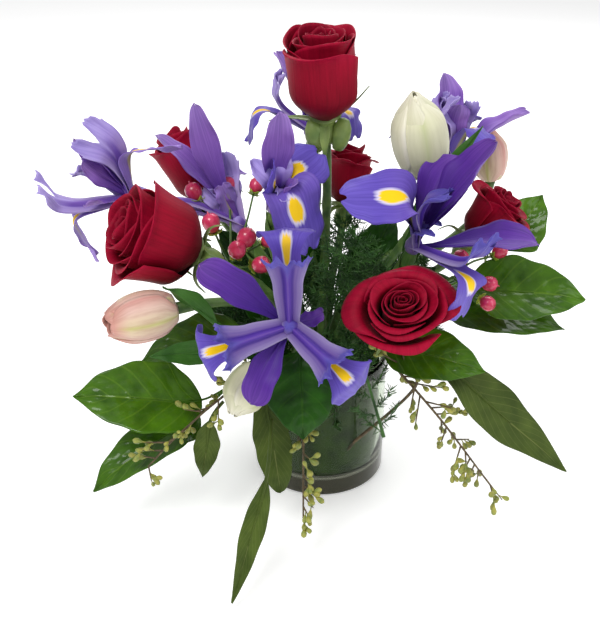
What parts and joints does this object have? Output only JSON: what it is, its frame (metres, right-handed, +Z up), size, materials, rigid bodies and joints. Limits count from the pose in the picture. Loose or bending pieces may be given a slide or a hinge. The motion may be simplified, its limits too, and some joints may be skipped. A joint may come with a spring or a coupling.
{
  "type": "irises in a vase",
  "caption": "Cut-flower arrangement of irises, roses, tulips, berries and foliage standing in water in a clear glass cylinder vase.",
  "frame": {"origin": "centre of the vase's underside, on the surface it stands on", "axes": "+Z up; -Y towards the viewer, at the front of the arrangement; +X to the viewer's right"},
  "size_m": [0.3954, 0.3129, 0.3498],
  "materials": {
    "glass": "clear polished",
    "water": "clear liquid",
    "liner_leaf": "satin",
    "rose_petals": "velvety",
    "iris_petals": "silky",
    "white_tulip_petals": "silky",
    "pink_tulip_petals": "silky",
    "berries": "glossy",
    "green_stem": "satin",
    "lemon_leaf": "glossy",
    "eucalyptus": "matte",
    "fern": "matte"
  },
  "bodies": {
    "root": {"eucalyptus_leaf_front": "eucalyptus", "eucalyptus_leaf_left": "eucalyptus", "eucalyptus_leaf_right": "eucalyptus", "eucalyptus_leaf_trailing": "eucalyptus", "eucalyptus_sprig_front": "eucalyptus", "eucalyptus_sprig_left": "eucalyptus", "eucalyptus_sprig_right": "eucalyptus", "fern_low_right": "fern", "fern_middle": "fern", "hypericum_left": "berries", "hypericum_right": "berries", "iris_back_bloom": "iris_petals", "iris_back_right_bloom": "iris_petals", "iris_back_right_stem": "green_stem", "iris_back_stem": "green_stem", "iris_far_left_bloom": "iris_petals", "iris_far_left_stem": "green_stem", "iris_front_bloom": "iris_petals", "iris_front_stem": "green_stem", "iris_left_bloom": "iris_petals", "iris_left_stem": "green_stem", "iris_middle_bloom": "iris_petals", "iris_middle_stem": "green_stem", "iris_right_bloom": "iris_petals", "iris_right_stem": "green_stem", "lemon_leaf_back": "lemon_leaf", "lemon_leaf_front": "lemon_leaf", "lemon_leaf_high_right": "lemon_leaf", "lemon_leaf_left": "lemon_leaf", "lemon_leaf_low_left": "lemon_leaf", "lemon_leaf_low_right": "lemon_leaf", "lemon_leaf_right": "lemon_leaf", "lemon_leaf_shade": "lemon_leaf", "lemon_leaf_under_rose": "lemon_leaf", "liner_leaf": "liner_leaf", "rose_back_bloom": "rose_petals", "rose_back_right_bloom": "rose_petals", "rose_back_right_stem": "green_stem", "rose_back_stem": "green_stem", "rose_bud_bloom": "rose_petals", "rose_bud_stem": "green_stem", "rose_left_bloom": "rose_petals", "rose_left_stem": "green_stem", "rose_right_bloom": "rose_petals", "rose_right_stem": "green_stem", "rose_top_bloom": "rose_petals", "rose_top_stem": "green_stem", "tulip_back_bloom": "pink_tulip_petals", "tulip_back_stem": "green_stem", "tulip_leaf_pink_lower": "green_stem", "tulip_leaf_pink_upper": "green_stem", "tulip_leaf_white": "green_stem", "tulip_low_bloom": "white_tulip_petals", "tulip_low_stem": "green_stem", "tulip_pink_bloom": "pink_tulip_petals", "tulip_pink_stem": "green_stem", "tulip_white_bloom": "white_tulip_petals", "tulip_white_stem": "green_stem", "vase": "glass", "water": "water"}
  },
  "joints": []
}
